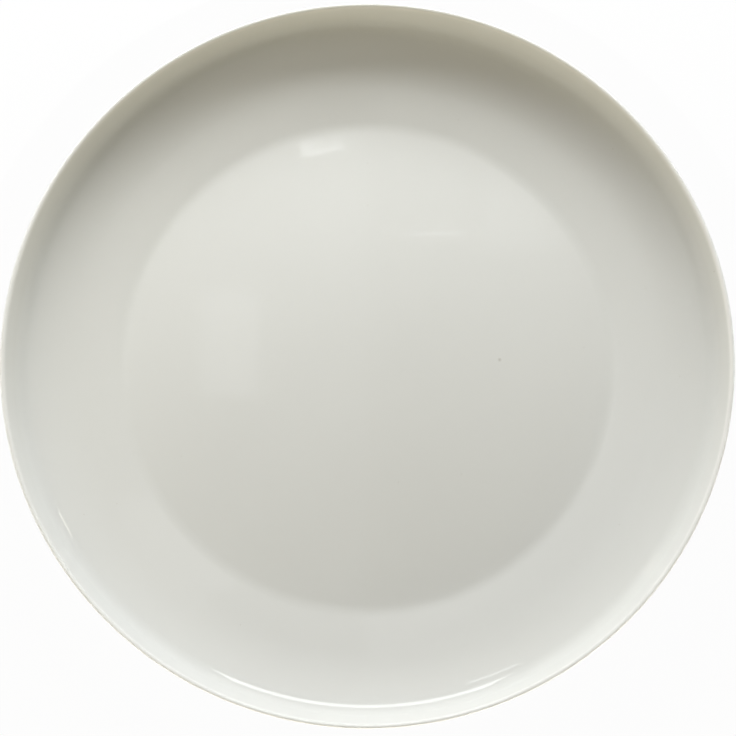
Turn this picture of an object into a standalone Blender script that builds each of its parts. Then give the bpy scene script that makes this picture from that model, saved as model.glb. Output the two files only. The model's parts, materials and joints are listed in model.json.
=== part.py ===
"""A glazed porcelain dessert plate, in metres, +Z up, standing on z = 0 with its axis on Z.

The fired body is turned: a flat well, a verge that steepens to a shoulder, a short steep wall, a
rolled lip and a foot ring in one with it. One coat of glaze runs over the face, round the lip and down the
outside to the foot ring. A second coat lies in the recess inside the ring. The foot's ground rim,
on which the plate stands, stays bare and parts the two coats.
"""

from math import acos, ceil, cos, radians, sin, tau

import bpy
from mathutils import Matrix, Vector

# Finished plate, over the glaze
RIM_RADIUS = 0.105
PLATE_HEIGHT = 0.0245

# Face of the body, from its axis to the lip
WELL_RADIUS = 0.0703
WELL_BEND_RADIUS = 0.0186
VERGE_SLOPE = radians(12)
VERGE_RUN = 0.010
RISE_SLOPE = radians(25)
SHOULDER_RADIUS = 0.0066
WALL_SLOPE = radians(76)
LIP_EDGE_RADIUS = 0.0001

# Thickness of the body, which tapers from the well to the lip
WELL_THICKNESS = 0.0037
LIP_THICKNESS = 0.0011

# Foot ring of the body
FOOT_HEIGHT = 0.0031
FOOT_DRAFT = radians(12)
FOOT_FILLET_RADIUS = 0.0015
FOOT_EDGE_RADIUS = 0.0007
FOOT_LAND = 0.0022

# Glaze on the body
GLAZE_THICKNESS = 0.0003
GLAZE_CLEARANCE = 0.0003
GLAZE_LINE_HEIGHT = 0.0011

# Fineness of the turned surfaces
TURN_STEPS = 64
ARC_SAGITTA = 0.000072
ARC_MOST_STEP = radians(40)

# Materials: colour, roughness
GLAZE_LOOK = ((0.80, 0.80, 0.75, 1), 0.08)
BISQUE_LOOK = ((0.83, 0.80, 0.73, 1), 0.65)


class Outline:
    """A half section walked in the (radius, height) plane, with the material on the right."""

    def __init__(self, radius, height, heading):
        self.points = [Vector((radius, height))]
        self.headings = [heading]

    def add(self, point, heading):
        self.points.append(point)
        self.headings.append(heading)

    def run(self, length):
        """Goes straight on."""
        heading = self.headings[-1]
        self.add(self.points[-1] + length * along(heading), heading)

    def bend(self, radius, turn):
        """Goes on round an arc, to the left if turn is positive."""
        start = self.headings[-1]
        to_centre = radius if turn > 0 else -radius
        centre = self.points[-1] + to_centre * left_of(start)
        most_step = min(2 * acos(1 - min(ARC_SAGITTA / radius, 1)), ARC_MOST_STEP)
        steps = ceil(abs(turn) / most_step)
        for step in range(1, steps + 1):
            heading = start + turn * step / steps
            self.add(centre - to_centre * left_of(heading), heading)

    def raised(self, distance, first=0, last=None):
        """The parallel outline this far off the surface, over a stretch of its points."""
        stretch = slice(first, last)
        pairs = zip(self.points[stretch], self.headings[stretch])
        return [point + distance * left_of(heading) for point, heading in pairs]


def along(heading):
    return Vector((cos(heading), sin(heading)))


def left_of(heading):
    return Vector((-sin(heading), cos(heading)))


def lip_roll_radius():
    """The radius of the lip's inner side, which takes what the outer edge leaves of the thickness."""
    return (LIP_THICKNESS - LIP_EDGE_RADIUS * (1 + cos(WALL_SLOPE))) / (1 - cos(WALL_SLOPE))


def rise_and_wall(well_height, skin):
    """The rise's radius and the wall's length that bring the lip to the rim's radius and height."""
    verge, rise, wall = VERGE_SLOPE, RISE_SLOPE, WALL_SLOPE
    start = Vector((WELL_RADIUS, well_height)) + VERGE_RUN * along(verge)
    start += WELL_BEND_RADIUS * (left_of(0) - left_of(verge))
    lip_top = Vector((RIM_RADIUS - skin - LIP_EDGE_RADIUS, PLATE_HEIGHT - skin))
    end = lip_top - lip_roll_radius() * (left_of(0) - left_of(wall))
    end -= SHOULDER_RADIUS * (left_of(rise) - left_of(wall))
    per_radius = left_of(verge) - left_of(rise)
    return Matrix((per_radius, along(wall))).transposed().inverted() @ (end - start)


def add_outside(outline, first):
    """Comes back down outside the wall and verge, as thick as the taper makes it, to the well."""
    face = list(zip(outline.points, outline.headings))[first : outline.lip_start + 1]
    lengths = [0.0]
    for (before, _), (point, _) in zip(face, face[1:]):
        lengths.append(lengths[-1] + (point - before).length)
    for (point, heading), length in list(zip(face, lengths))[-2::-1]:
        share = length / lengths[-1]
        thickness = WELL_THICKNESS + share * (LIP_THICKNESS - WELL_THICKNESS)
        outline.add(point - thickness * left_of(heading), heading + tau / 2)


def body_outline():
    """The body's half section, with the indices of its points where the two glaze coats stop."""
    skin = GLAZE_CLEARANCE + GLAZE_THICKNESS
    well_height = FOOT_HEIGHT + WELL_THICKNESS
    rise_radius, wall_length = rise_and_wall(well_height, skin)

    outline = Outline(0, well_height, heading=0)
    outline.run(WELL_RADIUS)
    well_edge = len(outline.points) - 1
    outline.bend(WELL_BEND_RADIUS, VERGE_SLOPE)
    outline.run(VERGE_RUN)
    outline.bend(rise_radius, RISE_SLOPE - VERGE_SLOPE)
    outline.bend(SHOULDER_RADIUS, WALL_SLOPE - RISE_SLOPE)
    outline.run(wall_length)
    outline.lip_start = len(outline.points) - 1
    outline.bend(lip_roll_radius(), -WALL_SLOPE)
    outline.bend(LIP_EDGE_RADIUS, WALL_SLOPE - tau / 2)
    add_outside(outline, well_edge)

    steep = tau / 4 - FOOT_DRAFT
    side = FOOT_HEIGHT - (FOOT_FILLET_RADIUS + FOOT_EDGE_RADIUS) * (1 - cos(steep))
    bare_side = GLAZE_LINE_HEIGHT - FOOT_EDGE_RADIUS * (1 - cos(steep))
    outline.bend(FOOT_FILLET_RADIUS, steep)
    outline.run((side - bare_side) / sin(steep))
    outer_stop = len(outline.points) - 1
    outline.run(bare_side / sin(steep))
    outline.bend(FOOT_EDGE_RADIUS, -steep)
    outline.run(FOOT_LAND)
    outline.bend(FOOT_EDGE_RADIUS, -steep)
    outline.run(bare_side / sin(steep))
    base_stop = len(outline.points) - 1
    outline.run((side - bare_side) / sin(steep))
    outline.bend(FOOT_FILLET_RADIUS, steep)
    outline.run(outline.points[-1].x)
    return outline, outer_stop, base_stop


def make_material(name, look):
    colour, roughness = look
    material = bpy.data.materials.new(name)
    material.use_nodes = True
    shader = material.node_tree.nodes["Principled BSDF"]
    shader.inputs["Base Color"].default_value = colour
    shader.inputs["Roughness"].default_value = roughness
    shader.inputs["Metallic"].default_value = 0
    return material


def turned(name, profile, material, parent):
    """Turns a profile that goes from the axis back to the axis, one full turn about Z."""
    mesh = bpy.data.meshes.new(name)
    corners = [(point.x, 0, point.y) for point in profile]
    edges = [(i, i + 1) for i in range(len(corners) - 1)]
    mesh.from_pydata(corners, edges, [])
    mesh.materials.append(material)
    piece = bpy.data.objects.new(name, mesh)
    piece.parent = parent
    bpy.context.scene.collection.objects.link(piece)
    screw = piece.modifiers.new("turn", "SCREW")
    screw.axis = "Z"
    screw.angle = tau
    screw.steps = screw.render_steps = TURN_STEPS
    screw.use_merge_vertices = True
    screw.merge_threshold = GLAZE_CLEARANCE / 100
    screw.use_smooth_shade = True
    return piece


def build():
    for old in list(bpy.data.objects):
        bpy.data.objects.remove(old, do_unlink=True)
    plate = bpy.data.objects.new("dessert_plate", None)
    bpy.context.scene.collection.objects.link(plate)
    glaze = make_material("glaze", GLAZE_LOOK)
    bisque = make_material("bisque", BISQUE_LOOK)

    outline, outer_stop, base_stop = body_outline()
    turned("porcelain_body", outline.points, bisque, plate)

    bed, surface = GLAZE_CLEARANCE, GLAZE_CLEARANCE + GLAZE_THICKNESS
    outer_bed = outline.raised(bed, last=outer_stop + 1)
    outer_surface = outline.raised(surface, last=outer_stop + 1)
    turned("outer_glaze", outer_surface + outer_bed[::-1], glaze, plate)
    base_bed = outline.raised(bed, first=base_stop)
    base_surface = outline.raised(surface, first=base_stop)
    turned("base_glaze", base_bed[::-1] + base_surface, glaze, plate)


build()
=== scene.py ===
# %% [markdown]
# # A glazed porcelain dessert plate
#
# A dessert plate is pressed from porcelain, fired, dipped in clear glaze and fired again. This
# lesson takes the plain turned solids of such a plate and gives them their final surface: fine
# turned meshes, a glossy glaze, a bare ground foot, and the light of a window. The solids come
# first, because every size below follows them.

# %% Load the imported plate
import json
from math import cos, pi, radians, sin, tan, tau

import bpy
import numpy as np
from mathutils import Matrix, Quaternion, Vector


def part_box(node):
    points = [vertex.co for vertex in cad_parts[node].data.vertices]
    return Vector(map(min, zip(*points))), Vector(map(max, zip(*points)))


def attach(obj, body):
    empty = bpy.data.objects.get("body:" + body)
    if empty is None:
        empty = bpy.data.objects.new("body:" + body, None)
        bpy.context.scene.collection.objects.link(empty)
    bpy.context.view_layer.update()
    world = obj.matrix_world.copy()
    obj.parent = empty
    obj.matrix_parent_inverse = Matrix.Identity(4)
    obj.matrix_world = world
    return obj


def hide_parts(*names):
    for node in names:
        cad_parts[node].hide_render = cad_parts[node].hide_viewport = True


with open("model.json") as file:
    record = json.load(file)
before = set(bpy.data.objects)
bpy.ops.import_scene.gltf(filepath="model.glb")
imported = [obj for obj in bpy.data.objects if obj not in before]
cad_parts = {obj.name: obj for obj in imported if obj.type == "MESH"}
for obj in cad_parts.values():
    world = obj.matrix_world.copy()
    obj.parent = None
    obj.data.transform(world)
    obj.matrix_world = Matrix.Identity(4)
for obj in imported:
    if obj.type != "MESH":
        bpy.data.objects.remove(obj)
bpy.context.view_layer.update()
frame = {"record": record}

# %% [markdown]
# ## Sizes
#
# The plate's width, height, well and skin of glaze can be measured on the solids or read from their
# record, so they are. What can't be measured there, such as the radius of a bend, is named here in
# metres and radians. The body's sizes are those under the glaze.

# %% Sizes from the frame
glaze_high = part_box("outer_glaze")[1]
body_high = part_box("porcelain_body")[1]
mounts = {mount["name"]: Vector(mount["pos_m"]) for mount in frame["record"]["mounts"]}

RIM_RADIUS = glaze_high.x
PLATE_HEIGHT = glaze_high.z
SKIN = glaze_high.z - body_high.z
WELL_HEIGHT = mounts["well_floor"].z - SKIN
print(f"rim {RIM_RADIUS:.4f}, height {PLATE_HEIGHT:.4f}, skin {SKIN:.5f}, well {WELL_HEIGHT:.4f}")

# %% Sizes of the section
WELL_RADIUS = 0.0703
WELL_BEND_RADIUS = 0.0186
VERGE_SLOPE = radians(12)
VERGE_RUN = 0.010
RISE_SLOPE = radians(25)
SHOULDER_RADIUS = 0.0076
WALL_SLOPE = radians(73.5)

WELL_THICKNESS = 0.0037
LIP_THICKNESS = 0.0009
LIP_EDGE_RADIUS = 0.0002

FOOT_HEIGHT = WELL_HEIGHT - WELL_THICKNESS
FOOT_STEEPNESS = radians(78)
FOOT_FILLET_RADIUS = 0.0015
FOOT_EDGE_RADIUS = 0.0007
FOOT_LAND = 0.0022
GLAZE_LINE_HEIGHT = 0.0011
LIP_SKIN = 0.00012
print(f"foot {FOOT_HEIGHT:.4f} high under a well {WELL_THICKNESS:.4f} thick")

# %% [markdown]
# ## Walking the section
#
# A potter's template is a run of straight lines and round bends, each leaving the last one
# smoothly. So the section is walked: every stretch has a length and a turn. A curve through chosen
# points would do as well, but then the bends would have no radius to name.

# %% The walk
def run(length, steps):
    """A straight stretch: it has a length and no turn."""
    return length, 0.0, steps


def arc(radius, turn, steps):
    """A round stretch: its length is the radius times the turn, and a positive turn goes left."""
    return radius * abs(turn), turn, steps


def along(heading):
    """The unit vector that points along a heading, in the plane of radius and height."""
    return np.stack([np.cos(heading), np.sin(heading)], -1)


def left_of(heading):
    """The unit vector a quarter turn to the left of a heading: out of the surface."""
    return along(np.asarray(heading) + pi / 2)


def walk(start, heading, stretches):
    """Points and headings along stretches of even bend.

    At share t of a stretch the heading has turned by turn * t. The point lies one chord from the
    start, in the direction half way between the two headings.
    The chord is length * t * sin(a) / a, where a = turn * t / 2.
    """
    points, headings = [np.array([start])], [np.array([heading])]
    for length, turn, steps in stretches:
        share = np.linspace(0, 1, steps + 1)[1:]
        chord = length * share * np.sinc(turn * share / tau)
        begin, heading = points[-1][-1], headings[-1][-1]
        points.append(begin + chord[:, None] * along(heading + turn * share / 2))
        headings.append(heading + turn * share)
    return np.concatenate(points), np.concatenate(headings)


quarter, _ = walk((0, 0), 0.0, [arc(1.0, pi / 2, 4)])
print("a quarter turn of radius 1 ends at", quarter[-1].round(6))

# %% [markdown]
# ## The porcelain body's section
#
# From the axis the face runs flat across the well, bends up into the verge, steepens, and turns
# over a shoulder into the short wall. Two lengths are left open, the radius of the steepening part
# and the length of the wall. They could be found by trial. Two linear equations give them at once,
# because the lip has to end at the rim's radius and at the plate's height, and the lip stays there
# when another size changes.

# %% Solve the verge and the wall
lip_roll_radius = LIP_THICKNESS - LIP_EDGE_RADIUS * (1 + cos(WALL_SLOPE))
lip_roll_radius /= 1 - cos(WALL_SLOPE)
known, _ = walk(
    (0, WELL_HEIGHT),
    0.0,
    [run(WELL_RADIUS, 1), arc(WELL_BEND_RADIUS, VERGE_SLOPE, 1), run(VERGE_RUN, 1)],
)
shoulder = SHOULDER_RADIUS * (left_of(RISE_SLOPE) - left_of(WALL_SLOPE))
lip_top = np.array([RIM_RADIUS - LIP_SKIN - LIP_EDGE_RADIUS, PLATE_HEIGHT - LIP_SKIN])
lip_start = lip_top - lip_roll_radius * (left_of(0) - left_of(WALL_SLOPE))
open_span = lip_start - known[-1] - shoulder
per_rise_radius = left_of(VERGE_SLOPE) - left_of(RISE_SLOPE)
rise_radius, wall_length = np.linalg.solve(
    np.stack([per_rise_radius, along(WALL_SLOPE)], 1), open_span
)
print(f"rise radius {rise_radius:.4f}, wall length {wall_length:.4f}")
print(f"lip roll radius {lip_roll_radius:.5f}")


# %% The face and the lip
WELL_STEPS = 24
BEND_STEPS = 14
RUN_STEPS = 8
SHOULDER_STEPS = 18
LIP_STEPS = 14

face_stretches = [
    run(WELL_RADIUS, WELL_STEPS),
    arc(WELL_BEND_RADIUS, VERGE_SLOPE, BEND_STEPS),
    run(VERGE_RUN, RUN_STEPS),
    arc(rise_radius, RISE_SLOPE - VERGE_SLOPE, BEND_STEPS),
    arc(SHOULDER_RADIUS, WALL_SLOPE - RISE_SLOPE, SHOULDER_STEPS),
    run(wall_length, RUN_STEPS),
]
face, face_heading = walk((0, WELL_HEIGHT), 0.0, face_stretches)
lip_stretches = [
    arc(lip_roll_radius, -WALL_SLOPE, LIP_STEPS),
    arc(LIP_EDGE_RADIUS, WALL_SLOPE - pi, LIP_STEPS),
]
lip, lip_heading = walk(face[-1], WALL_SLOPE, lip_stretches)
print("the wall starts at", face[-1 - RUN_STEPS].round(4), "and the lip at", face[-1].round(4))


# %% The back
def outside_of(points, headings):
    """The back of the face, out to in: each point moved in by a thickness that tapers on the way."""
    steps = np.linalg.norm(np.diff(points, axis=0), axis=1)
    share = np.concatenate([[0], np.cumsum(steps)]) / steps.sum()
    thickness = WELL_THICKNESS + share * (LIP_THICKNESS - WELL_THICKNESS)
    back = points - thickness[:, None] * left_of(headings)
    return back[::-1], headings[::-1] + pi


back, back_heading = outside_of(face[WELL_STEPS:], face_heading[WELL_STEPS:])
print("the back meets the foot at", back[-1].round(4))

# %% The foot
GLAZED_STEPS = 12
BARE_STEPS = 3
FILLET_STEPS = 12
FOOT_EDGE_STEPS = 8
LAND_STEPS = 4
BASE_STEPS = 20

edge_rise = 1 - cos(FOOT_STEEPNESS)
side = FOOT_HEIGHT - (FOOT_FILLET_RADIUS + FOOT_EDGE_RADIUS) * edge_rise
bare_side = GLAZE_LINE_HEIGHT - FOOT_EDGE_RADIUS * edge_rise
glazed_run = run((side - bare_side) / sin(FOOT_STEEPNESS), GLAZED_STEPS)
bare_run = run(bare_side / sin(FOOT_STEEPNESS), BARE_STEPS)
fillet = arc(FOOT_FILLET_RADIUS, FOOT_STEEPNESS, FILLET_STEPS)
edge = arc(FOOT_EDGE_RADIUS, -FOOT_STEEPNESS, FOOT_EDGE_STEPS)
foot_down = [fillet, glazed_run]
foot_land = [bare_run, edge, run(FOOT_LAND, LAND_STEPS), edge, bare_run]
foot_up = [glazed_run, fillet]

down, down_heading = walk(back[-1], back_heading[-1], foot_down)
land, land_heading = walk(down[-1], down_heading[-1], foot_land)
up, up_heading = walk(land[-1], land_heading[-1], foot_up)
base, base_heading = walk(up[-1], up_heading[-1], [run(up[-1][0], BASE_STEPS)])
print(f"the bare rim runs from radius {land[0, 0]:.4f} in to {land[-1, 0]:.4f}")

# %% The whole section
outer = np.concatenate([face, lip[1:-1], back, down[1:]])
outer_heading = np.concatenate([face_heading, lip_heading[1:-1], back_heading, down_heading[1:]])
recess = np.concatenate([up, base[1:]])
recess_heading = np.concatenate([up_heading, base_heading[1:]])
body = np.concatenate([outer, land[1:-1], recess])
print("points of the body's section:", len(body), "lowest:", body[:, 1].min())

# %% [markdown]
# ## Turning a section
#
# A plate is turned on a wheel, and so is its mesh: the surface is a grid of two parameters, the
# place along the section and the angle of turn. A Screw modifier could turn it too, but a grid of
# numbers takes a warp with it. Fired clay never stays quite true, so the rim gets a warp of a tenth
# of a millimetre, enough to make the reflections on it live. The foot stays flat, because it is
# ground after firing.

# %% The turned surface
TURN_STEPS = 240
RIM_SAG = 0.00012
OUT_OF_ROUND = 0.00010
SAG_BEARING = radians(35)
ROUND_BEARING = radians(80)


def fired(radius, height, angle):
    """The warp of the firing: two waves round the plate, from nothing at the well to full at the rim.

    With w = smooth step of (radius - well) / (rim - well), the height changes by
    sag * w * cos 2(angle - a) and the radius by oval * w * cos 2(angle - b).
    """
    t = np.clip((radius - WELL_RADIUS) / (RIM_RADIUS - WELL_RADIUS), 0, 1)
    w = t * t * (3 - 2 * t)
    height = height + RIM_SAG * w * np.cos(2 * (angle - SAG_BEARING))
    radius = radius + OUT_OF_ROUND * w * np.cos(2 * (angle - ROUND_BEARING))
    return radius, height


def turned(name, section, pooled=None):
    """Turns a section that goes from the axis back to the axis, about Z.

    The point (u, v) is at (r cos v, r sin v, z), where r and z are the section's radius and height
    at u. The two ends on the axis are single poles. A value for each point of the section goes
    round with it and is kept as the attribute "pooled".
    """
    rings = section[1:-1]
    angle = np.arange(TURN_STEPS) * tau / TURN_STEPS
    radius, height = fired(rings[:, :1], rings[:, 1:], angle)
    grid = np.stack([radius * np.cos(angle), radius * np.sin(angle), height], -1)
    poles = [[(0, 0, section[0, 1])], [(0, 0, section[-1, 1])]]
    corners = np.concatenate([poles[0], grid.reshape(-1, 3), poles[1]])

    number = 1 + np.arange(len(rings) * TURN_STEPS).reshape(len(rings), TURN_STEPS)
    turn_on = np.roll(number, -1, axis=1)
    quads = np.stack([number[:-1], number[1:], turn_on[1:], turn_on[:-1]], -1).reshape(-1, 4)
    last = len(corners) - 1
    first_fan = np.stack([np.zeros(TURN_STEPS, int), number[0], turn_on[0]], -1)
    last_fan = np.stack([number[-1], np.full(TURN_STEPS, last), turn_on[-1]], -1)

    mesh = bpy.data.meshes.new(name)
    mesh.from_pydata(corners, [], quads.tolist() + first_fan.tolist() + last_fan.tolist())
    mesh.shade_smooth()
    if pooled is not None:
        values = np.concatenate([pooled[:1], np.repeat(pooled[1:-1], TURN_STEPS), pooled[-1:]])
        mesh.attributes.new("pooled", "FLOAT", "POINT").data.foreach_set("value", values)
    piece = bpy.data.objects.new(name, mesh)
    bpy.context.scene.collection.objects.link(piece)
    print(f"{name}: {len(corners)} corners, {2 * len(quads) + 2 * TURN_STEPS} triangles")
    return piece


# %% [markdown]
# ## The pieces
#
# Glaze is a skin of glass. It has to be a closed shell of its own, parallel to the body, so that
# the pieces stay separate as on the solids. A Solidify modifier would give an even skin, but real
# glaze isn't even. At the foot the potter wipes it off, and in the fire it draws up into a round
# edge, so the skin thins there along a quarter of an ellipse. It also draws thin over the lip, as
# glaze does on any sharp edge, and runs together in the hollows. How much it does so is kept on the
# mesh for its colour.

# %% Glaze skin
GLAZE_BED = 0.00002
GLAZE_EDGE = 0.0006
LIP_DRAW = 0.005


def distance_along(section, index):
    """How far the points of a section lie from one of them, along the section."""
    steps = np.linalg.norm(np.diff(section, axis=0), axis=1)
    length = np.concatenate([[0], np.cumsum(steps)])
    return np.abs(length - length[index])


def glaze_shell(section, headings, edge, skin):
    """A skin on a section: the surface rises off it along the normal, and the bed lies just on it.

    The rise is the skin's thickness, times the root of 1 - t squared, where t goes from 0 to 1 over
    the last stretch before the edge, which is the section's first point or its last.
    """
    t = np.clip(1 - distance_along(section, edge) / GLAZE_EDGE, 0, 1)
    rise = GLAZE_BED + (skin - GLAZE_BED) * np.sqrt(1 - t * t)
    surface = section + rise[:, None] * left_of(headings)
    bed = section + GLAZE_BED * left_of(headings)
    if edge == 0:
        return np.concatenate([bed[::-1], surface[1:]])
    return np.concatenate([surface, bed[-2::-1]])


lip_index = len(face) - 1 + LIP_STEPS
drawn = np.exp(-((distance_along(outer, lip_index) / LIP_DRAW) ** 2))
outer_skin = SKIN - (SKIN - LIP_SKIN) * drawn
base_skin = np.full(len(recess), SKIN)
print(f"the glaze is {SKIN:.5f} thick and thins to {outer_skin.min():.5f} over the lip")

# %% Pooling
POOL_REACH = 0.0006
POOL_BEND = 1 / 1500


def pooling(section, headings):
    """How much glaze gathers: 0.5 on the flat, near 1 in a tight hollow and near 0 on a sharp edge.

    The turns of the heading are summed under a bell of a given reach, which gives the bend in
    radians per metre. It is scaled and goes through tanh, which is moved from -1..1 to 0..1.
    """
    place = distance_along(section, 0)
    middle = (place[1:] + place[:-1]) / 2
    turn = np.diff(np.unwrap(headings))
    bell = np.exp(-(((place[:, None] - middle) / POOL_REACH) ** 2)) / (POOL_REACH * np.sqrt(pi))
    return 0.5 + 0.5 * np.tanh(POOL_BEND * (bell @ turn))


outer_pool = pooling(outer, outer_heading)
recess_pool = pooling(recess, recess_heading)
print(f"pooling: {outer_pool.min():.2f} at the lip, {outer_pool.max():.2f} in the foot's fillet")

# %% Body and glaze pieces
porcelain_body = turned("porcelain_body_fired", body)
outer_glaze = turned(
    "outer_glaze_coat",
    glaze_shell(outer, outer_heading, -1, outer_skin),
    np.concatenate([outer_pool, outer_pool[-2::-1]]),
)
base_glaze = turned(
    "base_glaze_coat",
    glaze_shell(recess, recess_heading, 0, base_skin),
    np.concatenate([recess_pool[::-1], recess_pool[1:]]),
)

# %% [markdown]
# ## Node helpers
#
# Materials are built from nodes. One helper adds a node and fills its sockets, so that each
# material below reads as a list of what it is made of.

# %% Node helpers
def add(tree, kind, inputs=(), **settings):
    """Adds a node, sets its own properties, then fills its sockets with values or links."""
    node = tree.nodes.new(kind)
    for key, value in settings.items():
        setattr(node, key, value)
    for key, value in dict(inputs).items():
        if isinstance(value, bpy.types.NodeSocket):
            tree.links.new(value, node.inputs[key])
        else:
            node.inputs[key].default_value = value
    return node


def new_group(name, inputs, outputs):
    """An empty node group with named sockets, given as (name, kind, value), and its two ends."""
    tree = bpy.data.node_groups.new(name, "ShaderNodeTree")
    for label, kind, value in inputs:
        socket = tree.interface.new_socket(label, in_out="INPUT", socket_type="NodeSocket" + kind)
        if value is not None:
            socket.default_value = value
    for label, kind in outputs:
        tree.interface.new_socket(label, in_out="OUTPUT", socket_type="NodeSocket" + kind)
    return tree, tree.nodes.new("NodeGroupInput"), tree.nodes.new("NodeGroupOutput")


# %% [markdown]
# ## Two effects that both finishes share
#
# The kiln leaves its mark on glaze and bare clay alike. The tone drifts softly from place to place,
# and here and there a grain of iron burns out to a fine dark speck. And no fired surface is flat:
# it has fine relief on two scales. Both could be painted pictures, but noise has no seams and no
# pixels. Each effect is a node group, so that each finish can set its own amounts.

# %% Kiln tone
def kiln_tone_group():
    """Colour times a slow drift, then darkened at rare specks.

    A speck is a cell of a Voronoi pattern whose own random number is under the share, where the
    distance to the cell's centre is under the speck's radius.
    """
    sockets = [
        ("Vector", "Vector", None),
        ("Colour", "Color", (0.8, 0.8, 0.8, 1)),
        ("Drift", "Float", 0.02),
        ("Drift Scale", "Float", 30.0),
        ("Speck Colour", "Color", (0.3, 0.25, 0.2, 1)),
        ("Speck Scale", "Float", 100.0),
        ("Speck Size", "Float", 0.05),
        ("Speck Share", "Float", 0.05),
    ]
    tree, start, end = new_group("kiln_tone", sockets, [("Colour", "Color")])
    given = start.outputs
    noise = add(
        tree,
        "ShaderNodeTexNoise",
        {"Vector": given["Vector"], "Scale": given["Drift Scale"], "Detail": 3.0},
    )
    centred = add(tree, "ShaderNodeMath", {0: noise.outputs["Fac"], 1: 0.5}, operation="SUBTRACT")
    drift = add(
        tree,
        "ShaderNodeMath",
        {0: centred.outputs[0], 1: given["Drift"], 2: 1.0},
        operation="MULTIPLY_ADD",
    )
    drifted = add(
        tree,
        "ShaderNodeVectorMath",
        {0: given["Colour"], "Scale": drift.outputs[0]},
        operation="SCALE",
    )
    cells = add(
        tree,
        "ShaderNodeTexVoronoi",
        {"Vector": given["Vector"], "Scale": given["Speck Scale"]},
        voronoi_dimensions="2D",
    )
    lot = add(tree, "ShaderNodeSeparateColor", {"Color": cells.outputs["Color"]})
    chosen = add(
        tree,
        "ShaderNodeMath",
        {0: lot.outputs["Red"], 1: given["Speck Share"]},
        operation="LESS_THAN",
    )
    near = add(
        tree,
        "ShaderNodeMapRange",
        {"Value": cells.outputs["Distance"], "From Min": given["Speck Size"], "From Max": 0.0},
    )
    speck = add(
        tree,
        "ShaderNodeMath",
        {0: chosen.outputs[0], 1: near.outputs[0]},
        operation="MULTIPLY",
    )
    mix = add(
        tree,
        "ShaderNodeMix",
        {0: speck.outputs[0], 6: drifted.outputs[0], 7: given["Speck Colour"]},
        data_type="RGBA",
    )
    tree.links.new(mix.outputs[2], end.inputs["Colour"])
    return tree


kiln_tone = kiln_tone_group()
print(f"{kiln_tone.name}: {len(kiln_tone.nodes)} nodes")


# %% Fired relief
def fired_relief_group():
    """Height in metres: a long ripple plus a fine grain, each a noise times its own amount."""
    sockets = [
        ("Vector", "Vector", None),
        ("Ripple", "Float", 0.0),
        ("Ripple Scale", "Float", 60.0),
        ("Grain", "Float", 0.0),
        ("Grain Scale", "Float", 1500.0),
    ]
    tree, start, end = new_group("fired_relief", sockets, [("Height", "Float")])
    given = start.outputs
    ripple = add(
        tree,
        "ShaderNodeTexNoise",
        {"Vector": given["Vector"], "Scale": given["Ripple Scale"], "Detail": 1.0},
    )
    grain = add(
        tree,
        "ShaderNodeTexNoise",
        {"Vector": given["Vector"], "Scale": given["Grain Scale"], "Detail": 2.0},
    )
    coarse = add(
        tree,
        "ShaderNodeMath",
        {0: ripple.outputs["Fac"], 1: given["Ripple"]},
        operation="MULTIPLY",
    )
    height = add(
        tree,
        "ShaderNodeMath",
        {0: grain.outputs["Fac"], 1: given["Grain"], 2: coarse.outputs[0]},
        operation="MULTIPLY_ADD",
    )
    tree.links.new(height.outputs[0], end.inputs["Height"])
    return tree


fired_relief = fired_relief_group()
print(f"{fired_relief.name}: {len(fired_relief.nodes)} nodes")

# %% [markdown]
# ## The glaze
#
# Clear glaze over white porcelain is a pale, faintly warm white under a layer of glass. Glass that
# bends the light could be modelled over the body, but a skin this thin wouldn't look different. The
# Principled shader is what is needed, a matt colour under a clear reflecting surface, with a low
# roughness. Where the glaze draws thin the white body shows through, and where it pools it looks
# deeper, so the colour follows the value kept on the mesh. On the lip that colour is also lighter
# than the body, as painted light that lifts the shade on the lip's edge. One larger grain of iron
# has burnt out right of the middle of the well.

# %% Glaze material
# The thin glaze colour is partly painted light: lighter than the body, it lifts the shade on the
# lip's edge.
THIN_GLAZE_AND_PAINTED_LIGHT_COLOUR = (0.97, 0.965, 0.95, 1)
GLAZE_COLOUR = (0.80, 0.80, 0.78, 1)
POOL_COLOUR = (0.75, 0.765, 0.74, 1)
GLAZE_SPECK_COLOUR = (0.66, 0.64, 0.60, 1)
IRON_COLOUR = (0.60, 0.585, 0.55, 1)
IRON_PLACE = Vector((0.0390, 0.0013, WELL_HEIGHT + SKIN))
IRON_RADIUS = 0.0007
SMOOTHEST, ROUGHEST = 0.015, 0.035


def new_material(name):
    """A material, its node tree, its shader and the place of a point on the object, in metres."""
    material = bpy.data.materials.new(name)
    material.use_nodes = True
    tree = material.node_tree
    place = tree.nodes.new("ShaderNodeTexCoord").outputs["Object"]
    return material, tree, tree.nodes["Principled BSDF"], place


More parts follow.
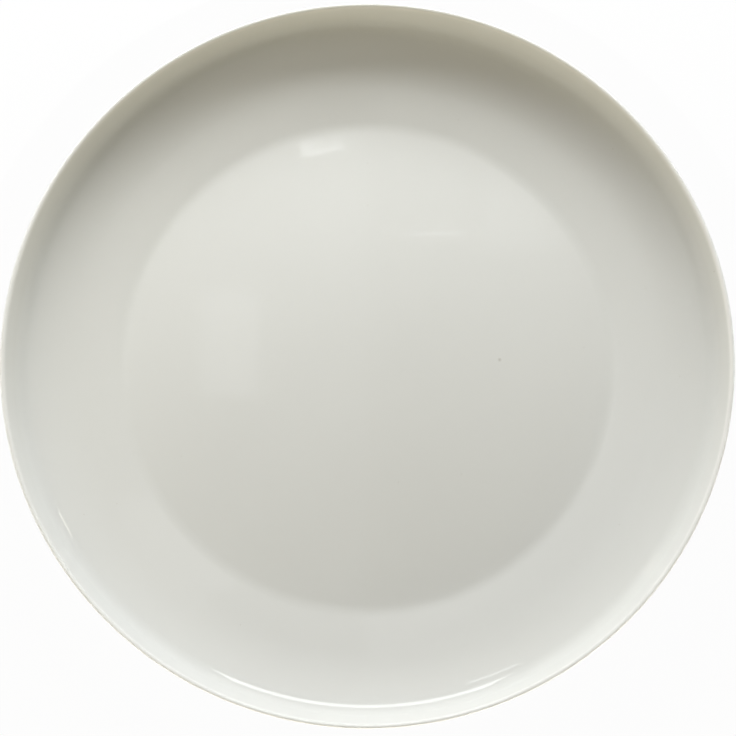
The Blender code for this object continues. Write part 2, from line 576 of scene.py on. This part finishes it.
def glaze_material():
    """Pale colour by depth of glaze, lightest on the lip, partly as painted light, with specks, under
    a clear gloss that ripples a little.
    """
    material, tree, shader, place = new_material("clear_glaze")
    pooled = add(tree, "ShaderNodeAttribute", attribute_name="pooled")
    depth = add(tree, "ShaderNodeValToRGB", {"Fac": pooled.outputs["Fac"]})
    stops = depth.color_ramp.elements
    # The thin end of the ramp, on the lip, carries that painted light as well as the thin glaze.
    stops[0].color, stops[1].color = THIN_GLAZE_AND_PAINTED_LIGHT_COLOUR, POOL_COLOUR
    stops.new(0.5).color = GLAZE_COLOUR
    tone = add(
        tree,
        "ShaderNodeGroup",
        node_tree=kiln_tone,
        inputs={
            "Vector": place,
            "Colour": depth.outputs["Color"],
            "Drift": 0.03,
            "Drift Scale": 35.0,
            "Speck Colour": GLAZE_SPECK_COLOUR,
            "Speck Scale": 110.0,
            "Speck Size": 0.025,
            "Speck Share": 0.03,
        },
    )
    relief = add(
        tree,
        "ShaderNodeGroup",
        node_tree=fired_relief,
        inputs={
            "Vector": place,
            "Ripple": 0.00002,
            "Ripple Scale": 50.0,
            "Grain": 0.0000004,
            "Grain Scale": 1200.0,
        },
    )
    bump = add(tree, "ShaderNodeBump", {"Height": relief.outputs["Height"], "Distance": 1.0})
    gloss = add(tree, "ShaderNodeTexNoise", {"Vector": place, "Scale": 90.0, "Detail": 4.0})
    rough = add(
        tree,
        "ShaderNodeMapRange",
        {"Value": gloss.outputs["Fac"], "To Min": SMOOTHEST, "To Max": ROUGHEST},
    )
    away = add(tree, "ShaderNodeVectorMath", {0: place, 1: IRON_PLACE}, operation="DISTANCE")
    iron = add(
        tree,
        "ShaderNodeMapRange",
        {"Value": away.outputs["Value"], "From Min": IRON_RADIUS, "From Max": 0.0},
    )
    colour = add(
        tree,
        "ShaderNodeMix",
        {0: iron.outputs[0], 6: tone.outputs["Colour"], 7: IRON_COLOUR},
        data_type="RGBA",
    )
    tree.links.new(colour.outputs[2], shader.inputs["Base Color"])
    tree.links.new(rough.outputs[0], shader.inputs["Roughness"])
    tree.links.new(bump.outputs["Normal"], shader.inputs["Normal"])
    return material


glaze = glaze_material()
print(f"{glaze.name}: {len(glaze.node_tree.nodes)} nodes")

# %% [markdown]
# ## The bare foot
#
# The rim of the foot is wiped clean before the glaze firing and ground smooth after it, so that it
# doesn't scratch the table. It is matt and a little warmer than the glaze. Its relief is fine clay
# grain with the rings that the grinding wheel leaves, which depend on the radius alone. At a few
# hundredths of a millimetre they are too fine for the mesh, so they are a bump in the finish.

# %% Bisque material
BISQUE_COLOUR = (0.83, 0.80, 0.73, 1)
BISQUE_SPECK_COLOUR = (0.45, 0.38, 0.30, 1)
BISQUE_ROUGHNESS = 0.75
RING_DEPTH = 0.00003


def bisque_material():
    """Matt warm white with clay grain and grinding rings, which are noise over the radius."""
    material, tree, shader, place = new_material("ground_bisque")
    tone = add(
        tree,
        "ShaderNodeGroup",
        node_tree=kiln_tone,
        inputs={
            "Vector": place,
            "Colour": BISQUE_COLOUR,
            "Drift": 0.10,
            "Drift Scale": 120.0,
            "Speck Colour": BISQUE_SPECK_COLOUR,
            "Speck Scale": 700.0,
            "Speck Size": 0.25,
            "Speck Share": 0.06,
        },
    )
    relief = add(
        tree,
        "ShaderNodeGroup",
        node_tree=fired_relief,
        inputs={
            "Vector": place,
            "Ripple": 0.00001,
            "Ripple Scale": 500.0,
            "Grain": 0.00002,
            "Grain Scale": 4000.0,
        },
    )
    flat = add(tree, "ShaderNodeVectorMath", {0: place, 1: (1, 1, 0)}, operation="MULTIPLY")
    radius = add(tree, "ShaderNodeVectorMath", {0: flat.outputs[0]}, operation="LENGTH")
    rings = add(
        tree,
        "ShaderNodeTexNoise",
        {"W": radius.outputs["Value"], "Scale": 6000.0, "Detail": 3.0},
        noise_dimensions="1D",
    )
    ground = add(
        tree,
        "ShaderNodeMath",
        {0: rings.outputs["Fac"], 1: RING_DEPTH, 2: relief.outputs["Height"]},
        operation="MULTIPLY_ADD",
    )
    bump = add(tree, "ShaderNodeBump", {"Height": ground.outputs[0], "Distance": 1.0})
    tree.links.new(tone.outputs["Colour"], shader.inputs["Base Color"])
    tree.links.new(bump.outputs["Normal"], shader.inputs["Normal"])
    shader.inputs["Roughness"].default_value = BISQUE_ROUGHNESS
    return material


bisque = bisque_material()
print(f"{bisque.name}: {len(bisque.node_tree.nodes)} nodes")

# %% [markdown]
# ## Dressing the frame
#
# Each piece stands for one of the solids, moves with the one body of the plate, and takes the finish
# that is listed beside its slot's name.

# %% Dress the frame
dressed = [
    (porcelain_body, "porcelain_body", "bisque", bisque),
    (outer_glaze, "outer_glaze", "glaze", glaze),
    (base_glaze, "base_glaze", "glaze", glaze),
]
for piece, node, slot, material in dressed:
    piece.data.materials.append(material)
    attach(piece, "root")
    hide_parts(node)
    print(f"{piece.name} stands for {node}, with the finish {material.name}")

# %% [markdown]
# ## Floor and world
#
# The plate lies on white. Lamps could light a pale floor to white, but they would burn out the
# plate as well. So the floor is a matt sheet, and to the camera and to reflections it is mostly a
# plain white glow. It stays white in any light and still takes a faint shadow. The world is white
# to the camera too, and lights the plate dimly.

# %% Floor
FLOOR_HALF = 4.0
FLOOR_GAP = 0.0001
FLOOR_COLOUR = (0.82, 0.82, 0.80, 1)
FLOOR_ROUGHNESS = 0.9
WHITE_GLOW = (1, 1, 1, 1)
WHITE_SHARE = 0.97


def seen_directly(tree):
    """1 for rays from the camera, off gloss or through glass, and 0 for rays that carry light."""
    path = tree.nodes.new("ShaderNodeLightPath").outputs
    either = add(
        tree,
        "ShaderNodeMath",
        {0: path["Is Camera Ray"], 1: path["Is Glossy Ray"]},
        operation="MAXIMUM",
    )
    any_of = add(
        tree,
        "ShaderNodeMath",
        {0: either.outputs[0], 1: path["Is Transmission Ray"]},
        operation="MAXIMUM",
    )
    return any_of.outputs[0]


def make_floor():
    """A square sheet just under the foot: the point (u, v) is at (u, v, minus the gap)."""
    material = bpy.data.materials.new("pale_floor")
    material.use_nodes = True
    tree = material.node_tree
    shader = tree.nodes["Principled BSDF"]
    shader.inputs["Base Color"].default_value = FLOOR_COLOUR
    shader.inputs["Roughness"].default_value = FLOOR_ROUGHNESS
    glow = add(tree, "ShaderNodeEmission", {"Color": WHITE_GLOW, "Strength": 1.0})
    share = add(
        tree, "ShaderNodeMath", {0: seen_directly(tree), 1: WHITE_SHARE}, operation="MULTIPLY"
    )
    mix = add(
        tree,
        "ShaderNodeMixShader",
        {0: share.outputs[0], 1: shader.outputs["BSDF"], 2: glow.outputs["Emission"]},
    )
    tree.links.new(mix.outputs[0], tree.nodes["Material Output"].inputs["Surface"])

    u, v = np.meshgrid([-FLOOR_HALF, FLOOR_HALF], [-FLOOR_HALF, FLOOR_HALF])
    corners = np.stack([u, v, np.full_like(u, -FLOOR_GAP)], -1).reshape(-1, 3)
    mesh = bpy.data.meshes.new("floor")
    mesh.from_pydata(corners, [], [(0, 1, 3, 2)])
    mesh.materials.append(material)
    floor = bpy.data.objects.new("floor", mesh)
    bpy.context.scene.collection.objects.link(floor)


make_floor()
print(f"floor {2 * FLOOR_HALF:.0f} m wide, {FLOOR_GAP} m under the foot")

# %% World
WORLD_STRENGTH = 0.02
WORLD_COLOUR = (1.0, 0.95, 0.86, 1)


def make_world():
    """Dim warm light from all round, seen by the camera as white."""
    world = bpy.data.worlds.new("studio")
    world.use_nodes = True
    tree = world.node_tree
    ambient = tree.nodes["Background"]
    ambient.inputs["Color"].default_value = WORLD_COLOUR
    ambient.inputs["Strength"].default_value = WORLD_STRENGTH
    white = add(tree, "ShaderNodeBackground", {"Color": WHITE_GLOW, "Strength": 1.0})
    path = tree.nodes.new("ShaderNodeLightPath").outputs
    mix = add(
        tree,
        "ShaderNodeMixShader",
        {0: path["Is Camera Ray"], 1: ambient.outputs[0], 2: white.outputs[0]},
    )
    tree.links.new(mix.outputs[0], tree.nodes["World Output"].inputs["Surface"])
    bpy.context.scene.world = world


make_world()
print(f"world light {WORLD_STRENGTH} in the colour {WORLD_COLOUR[:3]}")

# %% [markdown]
# ## Light
#
# The plate lies by a window. Cool light comes in low over its far edge and from both sides, and the
# room and the table give some back from the near side, warmer. A picture of a room could light it
# too, but lamps can be moved one by one. Each source is an area lamp that faces the plate. Glaze is
# a mirror, so a lamp may draw its own outline on the plate. The window does, as the bright line
# along the near wall, and so do patches of the ceiling and small lamps farther off. The broad fills
# don't, because a room's soft light has no edge to mirror.

# %% A lamp
HALF_TURN = 180


def panel(name, at, size, light, colour, mirrored=False, turn=0, beam=HALF_TURN, aim=(0, 0, 0)):
    """A rectangular lamp that faces a point of the plate, seen from the origin at a bearing,
    clockwise from the far side, an elevation and a distance. A turn rolls it about its own axis.

    Its light is the irradiance on a sheet that faces it from the plate. A small flat lamp needs pi
    times the distance squared times that as power. A beam of less than half a turn fades to nothing
    at its edge and needs the share (tan a - a) / tan a of it, where a is half the beam's angle. The
    glaze mirrors the lamp or not.
    """
    bearing, elevation, distance = radians(at[0]), radians(at[1]), at[2]
    place = distance * Vector(
        (sin(bearing) * cos(elevation), cos(bearing) * cos(elevation), sin(elevation))
    )
    half = radians(beam) / 2
    beam_share = 1 if beam == HALF_TURN else (tan(half) - half) / tan(half)
    data = bpy.data.lights.new(name, "AREA")
    data.shape = "RECTANGLE"
    data.size, data.size_y = size
    data.energy = pi * distance**2 * light * beam_share
    data.spread = radians(beam)
    data.color = colour
    lamp = bpy.data.objects.new(name, data)
    lamp.location = place
    facing = (Vector(aim) - place).to_track_quat("-Z", "Y")
    lamp.rotation_euler = (facing @ Quaternion((0, 0, 1), radians(turn))).to_euler()
    lamp.visible_camera = False
    lamp.visible_glossy = mirrored
    bpy.context.scene.collection.objects.link(lamp)
    print(f"{name}: {data.energy:.3f} W")


# %% Lamps
COOL = (0.97, 1.0, 1.01)
PLAIN = (1.06, 1.0, 0.86)
WARM = (1.09, 1.0, 0.72)
WHITE = (1.0, 1.0, 1.0)
SPOT = {"mirrored": True, "beam": 14, "aim": (0, 0.08, WELL_HEIGHT)}

panel("window", (1.0, 27.3, 0.50), (0.298, 0.165), 1.03, COOL, mirrored=True)
panel("window_light", (-6, 26.2, 0.45), (0.42, 0.16), 2.53, COOL)
panel("left_window", (-68, 42, 0.55), (0.40, 0.32), 0.80, PLAIN)
panel("right_window", (40, 31, 0.70), (0.50, 0.30), 0.68, COOL)
panel("high_fill", (180, 58, 0.70), (0.60, 0.35), 0.22, WARM)
panel("low_fill", (150, 15, 0.70), (0.70, 0.35), 0.71, WARM)
panel("table_card", (195, 3.5, 0.70), (0.80, 0.05), 1.05, WARM)
panel("near_glow", (180, 1.1, 0.60), (0.70, 0.02), 1.60, WHITE)
panel("left_glow", (-120, 1.1, 0.60), (0.60, 0.02), 1.40, WHITE)
panel("right_glow", (120, 1.1, 0.60), (0.60, 0.02), 1.20, WHITE)
panel("ceiling", (-38.9, 77.2, 0.877), (0.245, 0.37), 0.041, COOL, mirrored=True, turn=-38.9)
panel("ceiling_patch", (-33.2, 77.5, 0.876), (0.044, 0.08), 0.0033, COOL, mirrored=True, turn=-33.2)
panel("ceiling_corner", (23, 70.3, 0.908), (0.06, 0.095), 0.0035, COOL, mirrored=True, turn=23)
panel("ceiling_lamp", (-6.3, 70.0, 0.908), (0.034, 0.005), 0.0008, COOL, **SPOT)
panel("ceiling_strip", (11.8, 73.8, 0.898), (0.047, 0.003), 0.0006, COOL, turn=17.8, **SPOT)
panel("window_pane", (-15.3, 51.4, 0.565), (0.04, 0.010), 0.0044, COOL, mirrored=True)
panel("right_lamp", (49.5, 37, 0.547), (0.032, 0.055), 0.034, PLAIN, mirrored=True)
panel("left_lamp", (-44.2, 9.9, 0.525), (0.035, 0.05), 0.022, PLAIN, mirrored=True)

# %% [markdown]
# ## Scrim
#
# The low lamps strike the outside of the wall much harder than the well, and would burn it out to
# white in a view from the side. A photographer stands a low strip of thin cloth in the way, just
# out of the picture. Here it goes round the plate. On the far side it ends below the light that
# passes over the rim, and on the near side just below the lip, which keeps all its light.

# %% Scrim
SCRIM_RADIUS = 0.125
SCRIM_FAR_HEIGHT = 0.032
SCRIM_NEAR_HEIGHT = 0.0225
SCRIM_STEPS = 128
SCRIM_PASS = (0.4, 0.4, 0.4, 1)


def make_scrim():
    """An upright strip round the axis: the point (u, v) is at (r cos u, r sin u, h v).

    Its height h goes from the near one to the far one while twice the sine of u goes from 0 to 1.
    """
    u, v = np.meshgrid(np.arange(SCRIM_STEPS) * tau / SCRIM_STEPS, [0, 1], indexing="ij")
    share = np.clip(2 * np.sin(u), 0, 1)
    height = SCRIM_NEAR_HEIGHT + share * (SCRIM_FAR_HEIGHT - SCRIM_NEAR_HEIGHT)
    corners = np.stack([SCRIM_RADIUS * np.cos(u), SCRIM_RADIUS * np.sin(u), height * v], -1)
    low = 2 * np.arange(SCRIM_STEPS)
    turn_on = np.roll(low, -1)
    mesh = bpy.data.meshes.new("scrim")
    faces = np.stack([low, turn_on, turn_on + 1, low + 1], -1)
    mesh.from_pydata(corners.reshape(-1, 3), [], faces.tolist())
    material = bpy.data.materials.new("thin_cloth")
    material.use_nodes = True
    tree = material.node_tree
    cloth = add(tree, "ShaderNodeBsdfTransparent", {"Color": SCRIM_PASS})
    tree.links.new(cloth.outputs[0], tree.nodes["Material Output"].inputs["Surface"])
    mesh.materials.append(material)
    scrim = bpy.data.objects.new("scrim", mesh)
    scrim.visible_camera = scrim.visible_glossy = False
    bpy.context.scene.collection.objects.link(scrim)


make_scrim()
print(f"scrim {SCRIM_NEAR_HEIGHT} m high on the near side and {SCRIM_FAR_HEIGHT} m on the far side")

# %% [markdown]
# ## Camera
#
# The photograph looks down almost along the plate's axis, from a little over half a metre. Distance
# and lens go together: from farther off with a longer lens, the near wall would look narrower
# against the far one.

# %% Camera
CAMERA_ELEVATION = radians(80.6)
CAMERA_DISTANCE = 0.54
CAMERA_AIM = Vector((0.0002, -0.0026, 0.016))
CAMERA_LENS = 91.15

camera_data = bpy.data.cameras.new("camera")
camera_data.lens = CAMERA_LENS
camera = bpy.data.objects.new("camera", camera_data)
view_back = Vector((0, -cos(CAMERA_ELEVATION), sin(CAMERA_ELEVATION)))
camera.location = CAMERA_AIM + CAMERA_DISTANCE * view_back
camera.rotation_euler = (-view_back).to_track_quat("-Z", "Y").to_euler()
bpy.context.scene.collection.objects.link(camera)
bpy.context.scene.camera = camera
bpy.context.scene.view_settings.view_transform = "Standard"
print(f"camera {CAMERA_DISTANCE} m from its aim, with a {CAMERA_LENS} mm lens")
